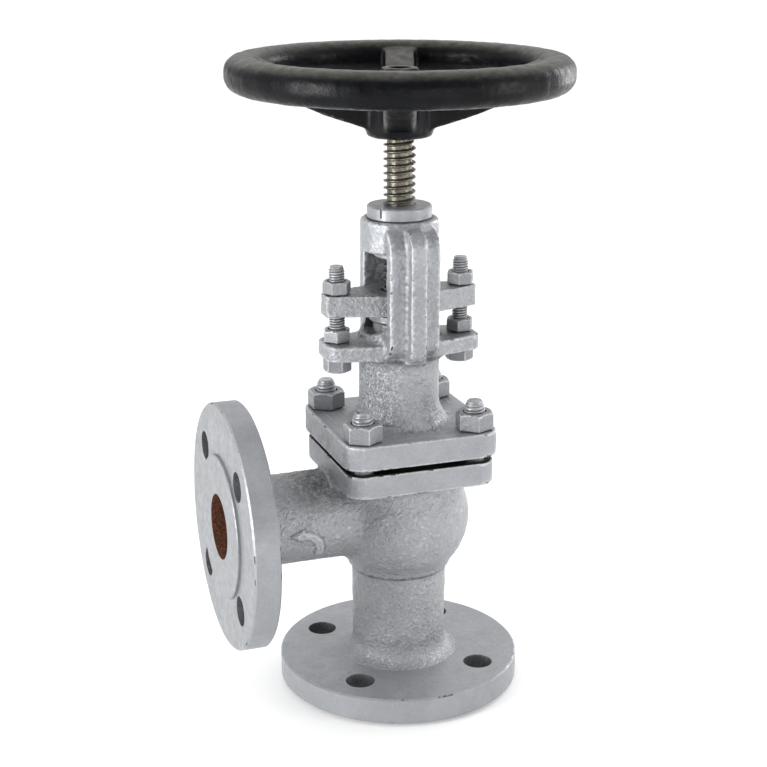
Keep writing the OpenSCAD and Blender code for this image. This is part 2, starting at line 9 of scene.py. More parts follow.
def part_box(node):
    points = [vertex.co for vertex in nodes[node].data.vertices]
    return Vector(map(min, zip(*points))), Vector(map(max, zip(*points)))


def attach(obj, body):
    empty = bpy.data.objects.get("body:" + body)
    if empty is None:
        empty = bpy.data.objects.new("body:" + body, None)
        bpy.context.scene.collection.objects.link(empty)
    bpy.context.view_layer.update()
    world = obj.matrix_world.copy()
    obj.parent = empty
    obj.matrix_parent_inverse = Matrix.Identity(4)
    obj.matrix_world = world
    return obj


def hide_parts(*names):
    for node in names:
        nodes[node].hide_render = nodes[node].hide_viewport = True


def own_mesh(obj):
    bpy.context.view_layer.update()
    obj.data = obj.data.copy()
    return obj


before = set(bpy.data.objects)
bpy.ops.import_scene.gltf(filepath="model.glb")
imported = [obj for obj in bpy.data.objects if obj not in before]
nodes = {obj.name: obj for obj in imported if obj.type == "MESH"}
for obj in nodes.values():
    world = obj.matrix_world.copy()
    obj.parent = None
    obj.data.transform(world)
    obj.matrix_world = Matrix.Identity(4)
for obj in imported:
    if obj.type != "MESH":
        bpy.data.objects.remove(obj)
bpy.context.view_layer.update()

MM = 0.001
collection = bpy.context.scene.collection


# ---------- sizes in millimetres, from the CAD part ----------

def low_z(node):
    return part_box(node)[0].z / MM


def high_z(node):
    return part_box(node)[1].z / MM


FLANGE_H = 18.0
FLANGE_R = 75.0
RAISED_FACE_H = 2.0
NICK_W = 1.6
PIPE_BOLT = dict(circle_r=55.0, hole_r=9.0)
BORE_R = 20.0
NECK_R = 29.0
BRANCH_R = 28.0
CENTRE_TO_FACE = 115.0
FILLET_REACH = 44.0
BAND_Z = 77.0
BOWL = dict(z=110.0, inside_r=39.5, mouth_r=33.0)
ARROW = dict(x=-70.0, z=CENTRE_TO_FACE - 12, radius=10.5, width=4.0, head=8.0, tail=4.0, relief=1.2)
COVER_HALF = 48.5
BODY_TOP = low_z("bonnet_gasket")
BODY_FLANGE_FOOT = BODY_TOP - 15.0
BONNET_FOOT = high_z("bonnet_gasket")
BONNET_FLANGE_TOP = low_z("bonnet_nuts")
LUG_FOOT = 214.0
# The next two hold the insides of the stuffing box and of the yoke's opening, with a margin.
BOX_ZONE = dict(radius=17.0, top=232.0)
OPENING_ZONE = dict(radius=25.0, half_y=21.5, foot=221.0, top=279.0)
ARM_DIRT_TOP = 262.0
WHEEL_SPOKE_ANGLE = 70.0
WHEEL_RIM = dict(radius=90.15, z=381.2, width=22.7, height=20.8, corner=9.2)
INCH = 25.4
STUD = dict(offset=35.4, radius=INCH / 4, pitch=INCH / 12, tip=4.3, taper=5.4,
            foot=low_z("bonnet_studs"), top=high_z("bonnet_studs"), thread_from=BONNET_FLANGE_TOP)
GLAND_BOLT = dict(offset=39.4, radius=3 / 16 * INCH, pitch=INCH / 16, tip=4.1, taper=0.9,
                  foot=LUG_FOOT - 1, top=high_z("gland_bolts"), thread_from=226.0, darkened_z=236.0)
GLAND_HEAD = dict(flats=15.24, foot=low_z("gland_bolts"), top=LUG_FOOT, turn=32.0)
STEM = dict(head_r=14.5, head_h=5.6, neck_r=8.5, collar_z=120.0, collar_r=11.5, square_half=6.5,
            end_thread_depth=1.3, end_r=5.1, tip=4.2)
STEM_THREAD = dict(radius=9.5, root=7.4, pitch=INCH / 6, foot=254.0, top=343.8, start=0.75)
STUD_PLACES = [(sx * STUD["offset"], sy * STUD["offset"]) for sx in (-1, 1) for sy in (-1, 1)]
GLAND_PLACES = [(side * GLAND_BOLT["offset"], 0.0) for side in (-1, 1)]


# ---------- mesh tools ----------

def new_object(name, mesh):
    piece = bpy.data.objects.new(name, mesh)
    collection.objects.link(piece)
    return piece


def apply_modifiers(piece):
    depsgraph = bpy.context.evaluated_depsgraph_get()
    mesh = bpy.data.meshes.new_from_object(piece.evaluated_get(depsgraph))
    piece.modifiers.clear()
    piece.data = mesh


def read_points(mesh):
    flat = np.empty(3 * len(mesh.vertices), np.float32)
    mesh.vertices.foreach_get("co", flat)
    return flat.reshape(-1, 3).astype(float)


def write_points(mesh, points):
    mesh.vertices.foreach_set("co", points.astype(np.float32).ravel())
    mesh.update()


def read_edges(mesh):
    flat = np.empty(2 * len(mesh.edges), np.int32)
    mesh.edges.foreach_get("vertices", flat)
    return flat.reshape(-1, 2)


def read_normals(mesh):
    flat = np.empty(3 * len(mesh.vertices), np.float32)
    mesh.vertex_normals.foreach_get("vector", flat)
    return flat.reshape(-1, 3).astype(float)


def neighbour_mean(values, edges, count):
    """Mean over each point's neighbours of one column of values."""
    a, b = edges[:, 0], edges[:, 1]
    total = np.bincount(a, values[b], count) + np.bincount(b, values[a], count)
    return total / np.maximum(np.bincount(edges.ravel(), minlength=count), 1)


def mean_of_neighbours(points, edges):
    return np.stack([neighbour_mean(points[:, k], edges, len(points)) for k in range(3)], 1)


def relax(mesh, passes, convex, weight):
    """Smooths a mesh. Hollows fill at full rate, as cast fillets do, and ridges only at the rate convex."""
    points = read_points(mesh)
    edges = read_edges(mesh)
    for _ in range(passes):
        step = mean_of_neighbours(points, edges) - points
        outward = (step * read_normals(mesh)).sum(1)
        rate = 0.5 * weight * np.where(outward > 0, 1.0, convex)
        points += step * rate[:, None]
        write_points(mesh, points)


def set_attribute(mesh, name, values):
    attribute = mesh.attributes.new(name, "FLOAT", "POINT")
    attribute.data.foreach_set("value", np.clip(values, 0, 1).astype(np.float32))


def measure_relief(mesh, passes, extra_dirt_and_shade=0.0, clean=0.0):
    """Stores how concave and how ridged the surface is round each point, from 0 to 1. The concave values,
    raised where extra values are given, darken the paint as dirt and painted shade; the ridge values lighten
    it as wear and painted highlight. Where clean is 1 both are 0."""
    points = read_points(mesh)
    edges = read_edges(mesh)
    length = np.linalg.norm(points[edges[:, 0]] - points[edges[:, 1]], axis=1).mean()
    bend = ((mean_of_neighbours(points, edges) - points) * read_normals(mesh)).sum(1) / length
    for _ in range(passes):
        bend = 0.5 * bend + 0.5 * neighbour_mean(bend, edges, len(points))
    full_mark = 9
    set_attribute(mesh, "dirt_and_shade", np.maximum(bend * full_mark, extra_dirt_and_shade) * (1 - clean))
    set_attribute(mesh, "ridge", -bend * full_mark * (1 - clean))


def roughen(mesh, weight, coarse, fine):
    """Sinks the points of a cast surface by smooth noise; coarse and fine are its depths in millimetres."""
    points = read_points(mesh)
    coarse_scale, fine_scale = 130, 420
    shift = np.empty(len(points))
    for i, point in enumerate(points):
        place = Vector(point)
        shift[i] = coarse * noise.noise(place * coarse_scale) + fine * noise.noise(place * fine_scale)
    sunk = (shift - shift.max()) * weight * MM
    write_points(mesh, points + read_normals(mesh) * sunk[:, None])


def everywhere(mesh):
    """The weight 1 for each point."""
    return np.ones(len(mesh.vertices))


def smoothstep(low, high, x):
    t = np.clip((x - low) / (high - low), 0, 1)
    return t * t * (3 - 2 * t)


def remeshed(name, source, voxel):
    """A new object with the source's shape in even quads of about voxel millimetres."""
    piece = new_object(name, source.copy())
    step = piece.modifiers.new("voxels", "REMESH")
    step.mode = "VOXEL"
    step.voxel_size = voxel * MM
    step.use_smooth_shade = True
    apply_modifiers(piece)
    piece.data.materials.clear()
    return piece


def split(shape, point, normal, clear_outer=False):
    """Adds edges where a plane, given in millimetres, crosses a bmesh. Returns what lies on the plane."""
    result = bmesh.ops.bisect_plane(shape, geom=shape.verts[:] + shape.edges[:] + shape.faces[:],
                                    plane_co=Vector(point) * MM, plane_no=normal, clear_outer=clear_outer)
    return result["geom_cut"]


def score(mesh, point, normal):
    """Adds edges where a plane, given in millimetres, crosses a mesh."""
    shape = bmesh.new()
    shape.from_mesh(mesh)
    split(shape, point, normal)
    shape.to_mesh(mesh)
    shape.free()


def cut(mesh, point, normal):
    """Removes what lies on the normal's side of a plane, given in millimetres, and closes the cut."""
    shape = bmesh.new()
    shape.from_mesh(mesh)
    on_plane = split(shape, point, normal, clear_outer=True)
    edges = [part for part in on_plane if isinstance(part, bmesh.types.BMEdge)]
    bmesh.ops.triangle_fill(shape, use_beauty=True, edges=edges)
    bmesh.ops.recalc_face_normals(shape, faces=shape.faces[:])
    shape.to_mesh(mesh)
    shape.free()
    return mesh


def trim(mesh, doomed):
    """Removes the marked points and bridges the two rims they leave."""
    shape = bmesh.new()
    shape.from_mesh(mesh)
    shape.verts.ensure_lookup_table()
    bmesh.ops.delete(shape, geom=[shape.verts[i] for i in np.flatnonzero(doomed)], context="VERTS")
    bmesh.ops.bridge_loops(shape, edges=[edge for edge in shape.edges if edge.is_boundary])
    shape.to_mesh(mesh)
    shape.free()


def lathe(rows, columns):
    """A mesh swept round +Z. Each row is (z, radius), where radius is a number or a function of the angle."""
    angles = np.arange(columns) * 2 * np.pi / columns
    points = []
    for z, radius in rows:
        r = radius(angles) if callable(radius) else np.full(columns, radius)
        points.append(np.stack([r * np.cos(angles), r * np.sin(angles), np.full(columns, z)], 1))
    points = np.concatenate(points) * MM
    faces = []
    count = len(rows)
    for i in range(count - 1):
        low, high = i * columns, (i + 1) * columns
        for j in range(columns):
            k = (j + 1) % columns
            faces.append((low + j, low + k, high + k, high + j))
    faces.append(tuple(range(columns - 1, -1, -1)))
    faces.append(tuple(range((count - 1) * columns, count * columns)))
    mesh = bpy.data.meshes.new("lathe")
    mesh.from_pydata(points.tolist(), [], faces)
    mesh.update()
    return mesh


def moved(mesh, offset):
    write_points(mesh, read_points(mesh) + np.array(offset) * MM)
    return mesh


def joined(name, meshes):
    """One mesh object made of several meshes."""
    points, faces, start = [], [], 0
    for mesh in meshes:
        points.append(read_points(mesh))
        faces += [tuple(start + v for v in polygon.vertices) for polygon in mesh.polygons]
        start += len(mesh.vertices)
    whole = bpy.data.meshes.new(name)
    whole.from_pydata(np.concatenate(points).tolist(), [], faces)
    whole.update()
    return new_object(name, whole)


def soften(piece, width):
    """Rounds a piece's edges by width millimetres."""
    edge = piece.modifiers.new("soft_edges", "BEVEL")
    edge.width = width * MM
    edge.segments = 2
    edge.limit_method = "ANGLE"
    edge.angle_limit = math.radians(40)
    apply_modifiers(piece)


def shade(piece, angle):
    """Smooth shading with the edges sharper than angle degrees left crisp."""
    mesh = piece.data
    mesh.polygons.foreach_set("use_smooth", [True] * len(mesh.polygons))
    mesh.set_sharp_from_angle(angle=math.radians(angle))


def finish_piece(piece, material, body, slot, *replaced):
    """Paints a piece, tells the frame its body and hides the CAD nodes that it stands for. slot is not used.
    """
    piece.data.materials.clear()
    piece.data.materials.append(material)
    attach(piece, body)
    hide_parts(*replaced)


# ---------- material tools ----------

def feed(tree, socket, value):
    if isinstance(value, bpy.types.NodeSocket):
        tree.links.new(value, socket)
    else:
        socket.default_value = value


def new_material(name):
    material = bpy.data.materials.new(name)
    material.use_nodes = True
    tree = material.node_tree
    shader = tree.nodes["Principled BSDF"]
    return material, tree, shader


def places(tree, stretch=(1, 1, 1), turn=0.0):
    """Object coordinates in which features are stretched along the axes, after a turn about Y."""
    coordinates = tree.nodes.new("ShaderNodeTexCoord")
    mapping = tree.nodes.new("ShaderNodeMapping")
    mapping.vector_type = "TEXTURE"
    mapping.inputs["Scale"].default_value = stretch
    mapping.inputs["Rotation"].default_value = (0, turn, 0)
    tree.links.new(coordinates.outputs["Object"], mapping.inputs["Vector"])
    return mapping.outputs["Vector"]


def clouds(tree, size, detail=3.0, rough=0.55, where=None):
    """Noise whose features are about size millimetres across."""
    texture = tree.nodes.new("ShaderNodeTexNoise")
    texture.inputs["Scale"].default_value = 1000 / size
    texture.inputs["Detail"].default_value = detail
    texture.inputs["Roughness"].default_value = rough
    tree.links.new(where or places(tree), texture.inputs["Vector"])
    return texture.outputs["Fac"]


def cells(tree, size):
    texture = tree.nodes.new("ShaderNodeTexVoronoi")
    texture.inputs["Scale"].default_value = 1000 / size
    tree.links.new(places(tree), texture.inputs["Vector"])
    return texture.outputs["Distance"]


def levels(tree, value, low, high, out_low=0.0, out_high=1.0):
    """Maps low..high smoothly to out_low..out_high."""
    node = tree.nodes.new("ShaderNodeMapRange")
    node.interpolation_type = "SMOOTHSTEP"
    feed(tree, node.inputs["Value"], value)
    node.inputs["From Min"].default_value = low
    node.inputs["From Max"].default_value = high
    node.inputs["To Min"].default_value = out_low
    node.inputs["To Max"].default_value = out_high
    return node.outputs["Result"]


def combine(tree, operation, a, b):
    node = tree.nodes.new("ShaderNodeMath")
    node.operation = operation
    feed(tree, node.inputs[0], a)
    feed(tree, node.inputs[1], b)
    return node.outputs["Value"]


def times(tree, a, b):
    return combine(tree, "MULTIPLY", a, b)


def blend(tree, factor, a, b):
    """Mixes two colours; 0 gives a and 1 gives b."""
    node = tree.nodes.new("ShaderNodeMix")
    node.data_type = "RGBA"
    feed(tree, node.inputs["Factor"], factor)
    feed(tree, node.inputs["A"], a)
    feed(tree, node.inputs["B"], b)
    return node.outputs["Result"]


def mark(tree, name):
    """A value that a mesh stores at its points or corners. It is 0 on meshes that don't have it."""
    node = tree.nodes.new("ShaderNodeAttribute")
    node.attribute_name = name
    return node.outputs["Fac"]


def height_of(tree, vector):
    """The Z part of a vector."""
    node = tree.nodes.new("ShaderNodeSeparateXYZ")
    tree.links.new(vector, node.inputs["Vector"])
    return node.outputs["Z"]


def raise_bumps(tree, shader, layers):
    """Chains bump nodes; each layer is (height, depth in millimetres)."""
    normal = None
    for height, depth in layers:
        node = tree.nodes.new("ShaderNodeBump")
        node.inputs["Distance"].default_value = depth * MM
        tree.links.new(height, node.inputs["Height"])
        if normal is not None:
            tree.links.new(normal, node.inputs["Normal"])
        normal = node.outputs["Normal"]
    tree.links.new(normal, shader.inputs["Normal"])


def grey(value):
    return (value, value, value, 1.0)


def rgb(r, g, b):
    return (r, g, b, 1.0)


# ---------- materials ----------

def hatching(tree):
    """Brush strokes in two crossing directions."""
    one_way, other_way = (clouds(tree, 1.2, 2, 0.5, places(tree, (1, 1, 4), math.radians(lean)))
                          for lean in (38, -42))
    return combine(tree, "MINIMUM", one_way, other_way)


def paint_film(tree, tone, cast, grit, strokes):
    """Colour of the paint while it is sound: cloudy, speckled where it is cast, and where brushed streaked
    with painted glints on the strokes and painted shade between them.
    """
    light = rgb(0.311 * tone, 0.322 * tone, 0.340 * tone)
    dark = rgb(0.271 * tone, 0.281 * tone, 0.298 * tone)
    brushed_and_glinting = mark(tree, "brushed_and_glinting")
    colour = blend(tree, levels(tree, clouds(tree, 22, 5, 0.65), 0.35, 0.68), dark, light)
    speckle = levels(tree, clouds(tree, 0.8, 2), 0.3, 0.7, 0.0, 0.25)
    colour = blend(tree, speckle, colour, rgb(0.46, 0.47, 0.49))
    low_grit = times(tree, cast, levels(tree, grit, 0.45, 0.25, 0.0, 0.36))
    colour = blend(tree, low_grit, colour, rgb(0.10, 0.104, 0.11))
    high_grit = times(tree, cast, levels(tree, grit, 0.52, 0.74, 0.0, 0.3))
    colour = blend(tree, high_grit, colour, rgb(0.58, 0.59, 0.61))
    colour = blend(tree, times(tree, cast, 0.055), colour, grey(1.0))
    # Painted shade between the brush strokes.
    painted_stroke_shade = times(tree, brushed_and_glinting, levels(tree, strokes, 0.42, 0.33, 0.0, 0.35))
    colour = blend(tree, painted_stroke_shade, colour, rgb(0.10, 0.105, 0.115))
    # Painted glints on the brush strokes.
    painted_glints = times(tree, brushed_and_glinting, levels(tree, strokes, 0.46, 0.55, 0.0, 0.5))
    return blend(tree, painted_glints, colour, rgb(0.80, 0.82, 0.87))


def soil_and_shade(tree, colour):
    """Adds dirt and painted shade in the hollows, and worn paint with a painted highlight on the ridges."""
    # Dirt and painted shade: the hollows are darkened.
    darkening = times(tree, levels(tree, mark(tree, "dirt_and_shade"), 0.10, 0.8, 0.0, 0.85),
                 levels(tree, clouds(tree, 3.2, 4, 0.6), 0.34, 0.62, 0.25, 1.0))
    colour = blend(tree, darkening, colour, rgb(0.10, 0.102, 0.10))
    # Wear and painted highlight: the ridges are lightened.
    worn_and_highlit = times(tree, levels(tree, mark(tree, "ridge"), 0.12, 0.6, 0.0, 0.6),
                   levels(tree, clouds(tree, 2.5, 3), 0.38, 0.6, 0.35, 1.0))
    return blend(tree, worn_and_highlit, colour, rgb(0.66, 0.67, 0.69))


def silver_paint(name, tone, coarse):
    """Aluminium paint brushed over steel, chipped at its edges, with rust where the mesh is marked so. tone
    scales its brightness, and coarse is its roughness where a mesh isn't marked cast."""
    material, tree, shader = new_material(name)
    cast = levels(tree, mark(tree, "cast"), 0.0, 1.0, coarse, 1.0)
    grit = clouds(tree, 1.9, 3, 0.62)
    strokes = hatching(tree)
    brushed_and_glinting = times(tree, cast, levels(tree, mark(tree, "brushed_and_glinting"), 0.0, 1.0, 0.3, 1.0))
    edges = combine(tree, "MAXIMUM", levels(tree, mark(tree, "ridge"), 0.35, 0.6),
                    levels(tree, mark(tree, "rim_edge"), 0.15, 0.45))
    nicks = times(tree, edges, levels(tree, clouds(tree, 8, 5, 0.7), 0.58, 0.60))
    ragged = levels(tree, clouds(tree, 4, 4), 0.2, 0.8, -0.3, 0.3)
    rusty = levels(tree, combine(tree, "ADD", mark(tree, "rust"), ragged), 0.42, 0.58)
    colour = soil_and_shade(tree, paint_film(tree, tone, cast, grit, strokes))
    colour = blend(tree, nicks, colour, rgb(0.05, 0.045, 0.04))
    # Near-black painted shade in gaps and crevices between parts.
    colour = blend(tree, mark(tree, "joint"), colour, grey(0.02))
    colour = blend(tree, rusty, colour, rust_shades(tree))
    rough = levels(tree, clouds(tree, 5, 4), 0.3, 0.7, 0.34, 0.52)
    unpainted = combine(tree, "MAXIMUM", rusty, nicks)
    feed(tree, shader.inputs["Base Color"], colour)
    feed(tree, shader.inputs["Roughness"], blend(tree, rusty, rough, grey(0.85)))
    feed(tree, shader.inputs["Metallic"], levels(tree, unpainted, 0.0, 1.0, 0.5, 0.0))
    raise_bumps(tree, shader, [(clouds(tree, 8, 3), 0.35), (times(tree, strokes, brushed_and_glinting), 2.0),
                               (times(tree, grit, cast), 1.15)])
    return material


def rust_shades(tree):
    fine = levels(tree, clouds(tree, 1.6, 5, 0.75), 0.36, 0.64)
    return blend(tree, fine, rgb(0.045, 0.014, 0.008), rgb(0.19, 0.062, 0.024))


def rusty_bore():
    material, tree, shader = new_material("rusty_bore")
    feed(tree, shader.inputs["Base Color"], rust_shades(tree))
    feed(tree, shader.inputs["Roughness"], levels(tree, clouds(tree, 3, 4), 0.3, 0.7, 0.75, 0.95))
    raise_bumps(tree, shader, [(clouds(tree, 2.2, 4, 0.7), 0.8)])
    return material


def black_enamel():
    """Brushed-on black enamel over a rough casting, dusty on top."""
    material, tree, shader = new_material("black_enamel")
    film = clouds(tree, 14, 4, 0.6)
    thin, thick = rgb(0.0015, 0.0017, 0.0025), rgb(0.004, 0.0044, 0.006)
    colour = blend(tree, levels(tree, film, 0.35, 0.7), thin, thick)
    upward = height_of(tree, tree.nodes.new("ShaderNodeNewGeometry").outputs["Normal"])
    dust = times(tree, levels(tree, upward, 0.45, 1.0, 0.0, 0.95),
                 levels(tree, clouds(tree, 5, 4, 0.6), 0.36, 0.62, 0.6, 1.0))
    colour = blend(tree, dust, colour, rgb(0.085, 0.082, 0.071))
    worn = times(tree, levels(tree, mark(tree, "ridge"), 0.32, 0.8),
                 levels(tree, clouds(tree, 3, 4), 0.42, 0.62, 0.0, 0.7))
    colour = blend(tree, worn, colour, rgb(0.09, 0.088, 0.085))
    feed(tree, shader.inputs["Base Color"], colour)
    feed(tree, shader.inputs["Roughness"], levels(tree, clouds(tree, 4, 4), 0.3, 0.7, 0.28, 0.42))
    shader.inputs["Specular IOR Level"].default_value = 0.14
    pits = levels(tree, cells(tree, 3.0), 0.05, 0.32)
    raise_bumps(tree, shader, [(clouds(tree, 11, 3), 0.2), (pits, 0.05),
                               (clouds(tree, 1.8, 3, 0.6), 0.16)])
    return material


def stem_steel():
    """Bare steel with a brown film, and a painted shadow under each crest of the thread."""
    material, tree, shader = new_material("stem_steel")
    film = clouds(tree, 4, 5, 0.65)
    brown, bare = rgb(0.080, 0.073, 0.056), rgb(0.215, 0.202, 0.168)
    colour = blend(tree, levels(tree, film, 0.3, 0.7), brown, bare)
    # Painted shadow under each crest of the thread.
    root = levels(tree, mark(tree, "root"), 0.2, 0.8, 0.0, 0.95)
    colour = blend(tree, root, colour, rgb(0.018, 0.015, 0.012))
    feed(tree, shader.inputs["Base Color"], colour)
    feed(tree, shader.inputs["Metallic"], levels(tree, root, 0.0, 0.9, 0.85, 0.2))
    feed(tree, shader.inputs["Roughness"], levels(tree, clouds(tree, 2.5, 4), 0.3, 0.7, 0.26, 0.48))
    lines = clouds(tree, 3, 3, 0.6, places(tree, (3, 3, 0.25)))
    raise_bumps(tree, shader, [(lines, 0.08), (clouds(tree, 1.1, 4, 0.7), 0.12)])
    return material


def turned_steel():
    """Machined steel of the valve's trim, with fine turning marks."""
    material, tree, shader = new_material("turned_steel")
    shine = levels(tree, clouds(tree, 12, 4), 0.3, 0.7)
    colour = blend(tree, shine, rgb(0.50, 0.49, 0.47), rgb(0.64, 0.63, 0.61))
    feed(tree, shader.inputs["Base Color"], colour)
    shader.inputs["Metallic"].default_value = 0.95
    feed(tree, shader.inputs["Roughness"], levels(tree, clouds(tree, 4, 3), 0.3, 0.7, 0.24, 0.38))
    raise_bumps(tree, shader, [(clouds(tree, 1.5, 2, 0.5, places(tree, (5, 5, 0.33))), 0.05)])
    return material


def graphite():
    """Braided graphite of the packing and the gasket."""
    material, tree, shader = new_material("graphite")
    strands = levels(tree, clouds(tree, 3, 4), 0.3, 0.7)
    colour = blend(tree, strands, rgb(0.018, 0.018, 0.02), rgb(0.06, 0.06, 0.064))
    feed(tree, shader.inputs["Base Color"], colour)
    feed(tree, shader.inputs["Roughness"], levels(tree, clouds(tree, 2, 3), 0.3, 0.7, 0.55, 0.8))
    raise_bumps(tree, shader, [(cells(tree, 1.6), 0.3)])
    return material


cast_paint = silver_paint("cast_silver_paint", 1.0, 0.10)
fastener_paint = silver_paint("fastener_grey_paint", 0.70, 0.22)
turned_paint = silver_paint("turned_silver_paint", 0.92, 0.08)
# A darker copy of the silver paint: painted shade inside the bolt holes.
shaded_hole_paint = silver_paint("shaded_hole_paint", 0.30, 0.3)
bore_rust = rusty_bore()
enamel = black_enamel()
stem_metal = stem_steel()
trim_metal = turned_steel()
packing_graphite = graphite()


# ---------- castings ----------

def radius_about_z(points):
    return np.hypot(points[:, 0], points[:, 1]) / MM


def radius_about_branch(points):
    return np.hypot(points[:, 1], points[:, 2] - CENTRE_TO_FACE * MM) / MM


def bump_at(x, middle, width):
    """A bell curve, 1 at its middle."""
    return np.exp(-((x - middle) / width) ** 2)


def box_distance(u, v, low, high):
    """Distance from a rectangle in a plane, negative inside it."""
    over_u = np.maximum(low[0] - u, u - high[0])
    over_v = np.maximum(low[1] - v, v - high[1])
    outside = np.hypot(np.maximum(over_u, 0), np.maximum(over_v, 0))
    return outside + np.minimum(np.maximum(over_u, over_v), 0)


def arrow_distance(x, z):
    """Distance from the flow arrow's outline in a side view. It comes up from the inlet and bends left."""
    radius, half = ARROW["radius"], ARROW["width"] / 2
    u, v = x - ARROW["x"], z - ARROW["z"]
    bend = np.abs(np.hypot(u, v) - radius) - half
    bend = np.maximum(bend, np.maximum(-u, -v))
    tail = box_distance(u, v, (radius - half, -ARROW["tail"]), (radius + half, 0.2))
    slope = ARROW["width"] / 9
    sides = (np.abs(v - radius) - slope * (u + ARROW["head"])) / math.hypot(1, slope)
    return np.minimum(np.minimum(bend, tail), np.maximum(u, sides))


def mark_flange(mesh, face_middle, along, across):
    """Marks a pipe flange's two outer edges, where the paint is chipped, its back, which is as cast, and its
    dusty face."""
    depth = read_points(mesh)[:, along] / MM - face_middle[along]
    near_edge = np.minimum(np.abs(depth - RAISED_FACE_H), np.abs(depth - FLANGE_H)) < 0.6
    edge, cast, dust = (np.zeros(len(mesh.loops), np.float32) for _ in range(3))
    for face in mesh.polygons:
        out = math.hypot(*(np.array(face.center) / MM - face_middle)[across])
        in_front = max(depth[vertex] for vertex in face.vertices) < RAISED_FACE_H + 0.1
        for loop in face.loop_indices:
            vertex = mesh.loops[loop].vertex_index
            edge[loop] = near_edge[vertex] and out > FLANGE_R - 1.2
            cast[loop] = 0.35 * (depth[vertex] > FLANGE_H - 0.2 and out < FLANGE_R - 1.2)
            dust[loop] = 0.36 * in_front
    for name, values in (("rim_edge", edge), ("cast", cast), ("dirt_and_shade", dust)):
        attribute = mesh.attributes.new(name, "FLOAT", "CORNER")
        attribute.data.foreach_set("value", values)


def pipe_flange(name, face_middle, along):
    """A pipe flange with its machined edges crisp, and rust in its bore. along is the axis it is turned
    about."""
    inward = np.eye(3)[along]
    across = [axis for axis in range(3) if axis != along]
    mesh = cut(nodes["body"].data.copy(), face_middle + inward * (FLANGE_H + 0.02), inward)
    for depth in (RAISED_FACE_H + NICK_W, FLANGE_H - NICK_W):
        score(mesh, face_middle + inward * depth, inward)
    piece = new_object(name, mesh)
    finish_piece(piece, cast_paint, "root", "silver_paint", "body")
    mesh.materials.append(bore_rust)
    mesh.materials.append(shaded_hole_paint)
    hole = PIPE_BOLT["circle_r"] * math.sqrt(0.5)
    for face in mesh.polygons:
        u, v = (np.array(face.center) / MM - face_middle)[across]
        if math.hypot(u, v) < BORE_R + 0.1:
            face.material_index = 1
        # The bolt holes get the silver paint with painted shade.
        elif math.hypot(abs(u) - hole, abs(v) - hole) < PIPE_BOLT["hole_r"] + 0.1:
            face.material_index = 2
    soften(piece, 0.35)
    mark_flange(piece.data, face_middle, along, across)
    shade(piece, 35)


def body_blank():
    """The body in even quads, between its pipe flanges and out to where their fillets end."""
    kept = 3.0
    source = cut(nodes["body"].data.copy(), (0, 0, FLANGE_H - kept), (0, 0, -1))
    source = cut(source, (-CENTRE_TO_FACE + FLANGE_H - kept, 0, 0), (-1, 0, 0))
    piece = remeshed("valve_body", source, 1.0)
    points = read_points(piece.data)
    in_inlet_flange = points[:, 2] < (FLANGE_H + 2) * MM
    trim(piece.data, (radius_about_z(points) > FILLET_REACH) & in_inlet_flange)
    points = read_points(piece.data)
    in_outlet_flange = points[:, 0] < (FLANGE_H + 2 - CENTRE_TO_FACE) * MM
    trim(piece.data, (radius_about_branch(points) > FILLET_REACH) & in_outlet_flange)
    return piece


def raise_arrow(mesh, round_x, raised):
    """Moves the marked points of the branch out to the flow arrow's top."""
    points = read_points(mesh)
    grown = 1 + (BRANCH_R + ARROW["relief"] - radius_about_branch(points)) / round_x * raised
    points[:, 1] *= grown
    points[:, 2] = CENTRE_TO_FACE * MM + (points[:, 2] - CENTRE_TO_FACE * MM) * grown
    write_points(mesh, points)


def body_darkening(x, z, round_z, round_x, square):
    """Darkens the body between branch and cover flange, under the band round the neck, and round the neck's
    foot.
    """
    over_branch = bump_at(z, BODY_FLANGE_FOOT + 1, 12) * (1 - square)
    over_branch *= smoothstep(-92, -56, x) * (1 - smoothstep(-38, -15, x))
    off_branch = round_x > BRANCH_R + 2
    under_band = bump_at(z, BAND_Z - 0.6, 0.9) * off_branch * (round_z > NECK_R - 1)
    neck_foot = bump_at(z, FLANGE_H + 13, 4) * (round_x > 45)
    return np.maximum.reduce([0.75 * over_branch, 0.8 * under_band, 0.35 * neck_foot])


def sink_fringes(mesh, x, z, round_z, round_x):
    """Sinks the outer end of each pipe flange's fillet into the flange, so that they meet without a step."""
    points = read_points(mesh)
    for axis, depth, radius in ((2, z, round_z), (0, CENTRE_TO_FACE + x, round_x)):
        fringe = (1 - smoothstep(FLANGE_H + 0.5, FLANGE_H + 2.5, depth)) * smoothstep(35, 42, radius)
        points[:, axis] -= 1.2 * MM * fringe
    write_points(mesh, points)


